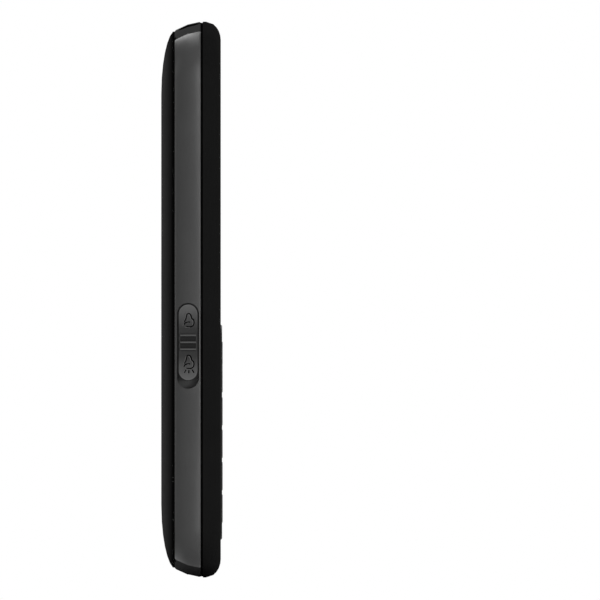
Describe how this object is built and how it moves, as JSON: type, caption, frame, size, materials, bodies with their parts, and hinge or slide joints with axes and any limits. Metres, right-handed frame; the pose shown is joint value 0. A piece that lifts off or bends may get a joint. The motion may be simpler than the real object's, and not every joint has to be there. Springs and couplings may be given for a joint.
{
  "type": "bar mobile phone",
  "caption": "Slim bar mobile phone with large keys, a small display, a torch worked by a side slide switch, a strap post and a lift-off battery cover.",
  "frame": {"origin": "middle of the bottom end, midway between the key faces and the back", "axes": "+Z to the phone's top, -Y out of the display and keys, +Y out of the battery cover, -X to the side with the torch slide"},
  "size_m": [0.0558, 0.0142, 0.128],
  "materials": {
    "front_shell": "black, fine satin",
    "surround": "black satin",
    "keys": "black satin keys",
    "call_key": "black satin key, green sign",
    "end_key": "black satin key, red sign",
    "ring": "dark grey, smooth",
    "window": "clear pane, smooth",
    "display": "dark display, switched off",
    "mesh": "fine black mesh",
    "metal_parts": "thin stamped metal",
    "loudspeaker": "black plastic frame",
    "domes": "metal domes on film",
    "board": "green circuit board",
    "antenna": "thin plated plate",
    "band": "dark grey satin",
    "cover": "black, fine texture",
    "battery": "dark grey sleeve",
    "contacts": "gold-plated springs in a plastic block",
    "lens": "clear lens",
    "lamp": "white lamp with yellow phosphor",
    "slide": "dark grey satin, ribbed",
    "switch": "black plastic",
    "sockets": "black plastic",
    "socket_metal": "stamped shell",
    "screws": "zinc-plated steel"
  },
  "bodies": {
    "phone": {"antenna": "antenna", "audio_jack": "sockets", "battery": "battery", "battery_contacts": "contacts", "card_holder": "metal_parts", "display_module": "display", "display_window": "window", "earpiece": "metal_parts", "earpiece_mesh": "mesh", "front_housing": "front_shell", "housing_screws": "screws", "key_dome_sheet": "domes", "keypad_surround": "surround", "loudspeaker": "loudspeaker", "loudspeaker_mesh": "mesh", "main_board": "board", "microphone": "metal_parts", "middle_housing": "band", "shield_can_lower": "metal_parts", "shield_can_upper": "metal_parts", "sim_holder": "metal_parts", "torch_led": "lamp", "torch_lens": "lens", "torch_switch": "switch", "usb_socket": "socket_metal", "vibration_motor": "metal_parts"},
    "rear_cover": {"rear_cover": "cover"},
    "torch_slider": {"torch_slider": "slide", "torch_switch_knob": "switch"},
    "key_1": {"key_1": "keys"},
    "key_2": {"key_2": "keys"},
    "key_3": {"key_3": "keys"},
    "key_4": {"key_4": "keys"},
    "key_5": {"key_5": "keys"},
    "key_6": {"key_6": "keys"},
    "key_7": {"key_7": "keys"},
    "key_8": {"key_8": "keys"},
    "key_9": {"key_9": "keys"},
    "key_star": {"key_star": "keys"},
    "key_0": {"key_0": "keys"},
    "key_hash": {"key_hash": "keys"},
    "softkey_left": {"softkey_left": "keys"},
    "softkey_right": {"softkey_right": "keys"},
    "call_key": {"call_key": "call_key"},
    "end_key": {"end_key": "end_key"},
    "navigation_ring": {"navigation_ring": "ring"},
    "select_key": {"select_key": "keys"}
  },
  "joints": [
    {"name": "torch_slide", "type": "slide", "parent": "phone", "child": "torch_slider", "axis": [0, 0, -1], "range_m": [0, 0.0015]},
    {"name": "rear_cover_lift", "type": "slide", "parent": "phone", "child": "rear_cover", "axis": [0, 1, 0], "range_m": [0, 0.02]},
    {"name": "key_1_press", "type": "slide", "parent": "phone", "child": "key_1", "axis": [0, 1, 0], "range_m": [0, 0.0003], "stiffness_N_per_m": 1200, "springref_m": -0.0003},
    {"name": "key_2_press", "type": "slide", "parent": "phone", "child": "key_2", "axis": [0, 1, 0], "range_m": [0, 0.0003], "stiffness_N_per_m": 1200, "springref_m": -0.0003},
    {"name": "key_3_press", "type": "slide", "parent": "phone", "child": "key_3", "axis": [0, 1, 0], "range_m": [0, 0.0003], "stiffness_N_per_m": 1200, "springref_m": -0.0003},
    {"name": "key_4_press", "type": "slide", "parent": "phone", "child": "key_4", "axis": [0, 1, 0], "range_m": [0, 0.0003], "stiffness_N_per_m": 1200, "springref_m": -0.0003},
    {"name": "key_5_press", "type": "slide", "parent": "phone", "child": "key_5", "axis": [0, 1, 0], "range_m": [0, 0.0003], "stiffness_N_per_m": 1200, "springref_m": -0.0003},
    {"name": "key_6_press", "type": "slide", "parent": "phone", "child": "key_6", "axis": [0, 1, 0], "range_m": [0, 0.0003], "stiffness_N_per_m": 1200, "springref_m": -0.0003},
    {"name": "key_7_press", "type": "slide", "parent": "phone", "child": "key_7", "axis": [0, 1, 0], "range_m": [0, 0.0003], "stiffness_N_per_m": 1200, "springref_m": -0.0003},
    {"name": "key_8_press", "type": "slide", "parent": "phone", "child": "key_8", "axis": [0, 1, 0], "range_m": [0, 0.0003], "stiffness_N_per_m": 1200, "springref_m": -0.0003},
    {"name": "key_9_press", "type": "slide", "parent": "phone", "child": "key_9", "axis": [0, 1, 0], "range_m": [0, 0.0003], "stiffness_N_per_m": 1200, "springref_m": -0.0003},
    {"name": "key_star_press", "type": "slide", "parent": "phone", "child": "key_star", "axis": [0, 1, 0], "range_m": [0, 0.0003], "stiffness_N_per_m": 1200, "springref_m": -0.0003},
    {"name": "key_0_press", "type": "slide", "parent": "phone", "child": "key_0", "axis": [0, 1, 0], "range_m": [0, 0.0003], "stiffness_N_per_m": 1200, "springref_m": -0.0003},
    {"name": "key_hash_press", "type": "slide", "parent": "phone", "child": "key_hash", "axis": [0, 1, 0], "range_m": [0, 0.0003], "stiffness_N_per_m": 1200, "springref_m": -0.0003},
    {"name": "softkey_left_press", "type": "slide", "parent": "phone", "child": "softkey_left", "axis": [0, 1, 0], "range_m": [0, 0.0003], "stiffness_N_per_m": 1200, "springref_m": -0.0003},
    {"name": "softkey_right_press", "type": "slide", "parent": "phone", "child": "softkey_right", "axis": [0, 1, 0], "range_m": [0, 0.0003], "stiffness_N_per_m": 1200, "springref_m": -0.0003},
    {"name": "call_key_press", "type": "slide", "parent": "phone", "child": "call_key", "axis": [0, 1, 0], "range_m": [0, 0.0003], "stiffness_N_per_m": 1200, "springref_m": -0.0003},
    {"name": "end_key_press", "type": "slide", "parent": "phone", "child": "end_key", "axis": [0, 1, 0], "range_m": [0, 0.0003], "stiffness_N_per_m": 1200, "springref_m": -0.0003},
    {"name": "navigation_ring_press", "type": "slide", "parent": "phone", "child": "navigation_ring", "axis": [0, 1, 0], "range_m": [0, 0.0003], "stiffness_N_per_m": 1200, "springref_m": -0.0003},
    {"name": "select_key_press", "type": "slide", "parent": "phone", "child": "select_key", "axis": [0, 1, 0], "range_m": [0, 0.0003], "stiffness_N_per_m": 1200, "springref_m": -0.0003}
  ]
}
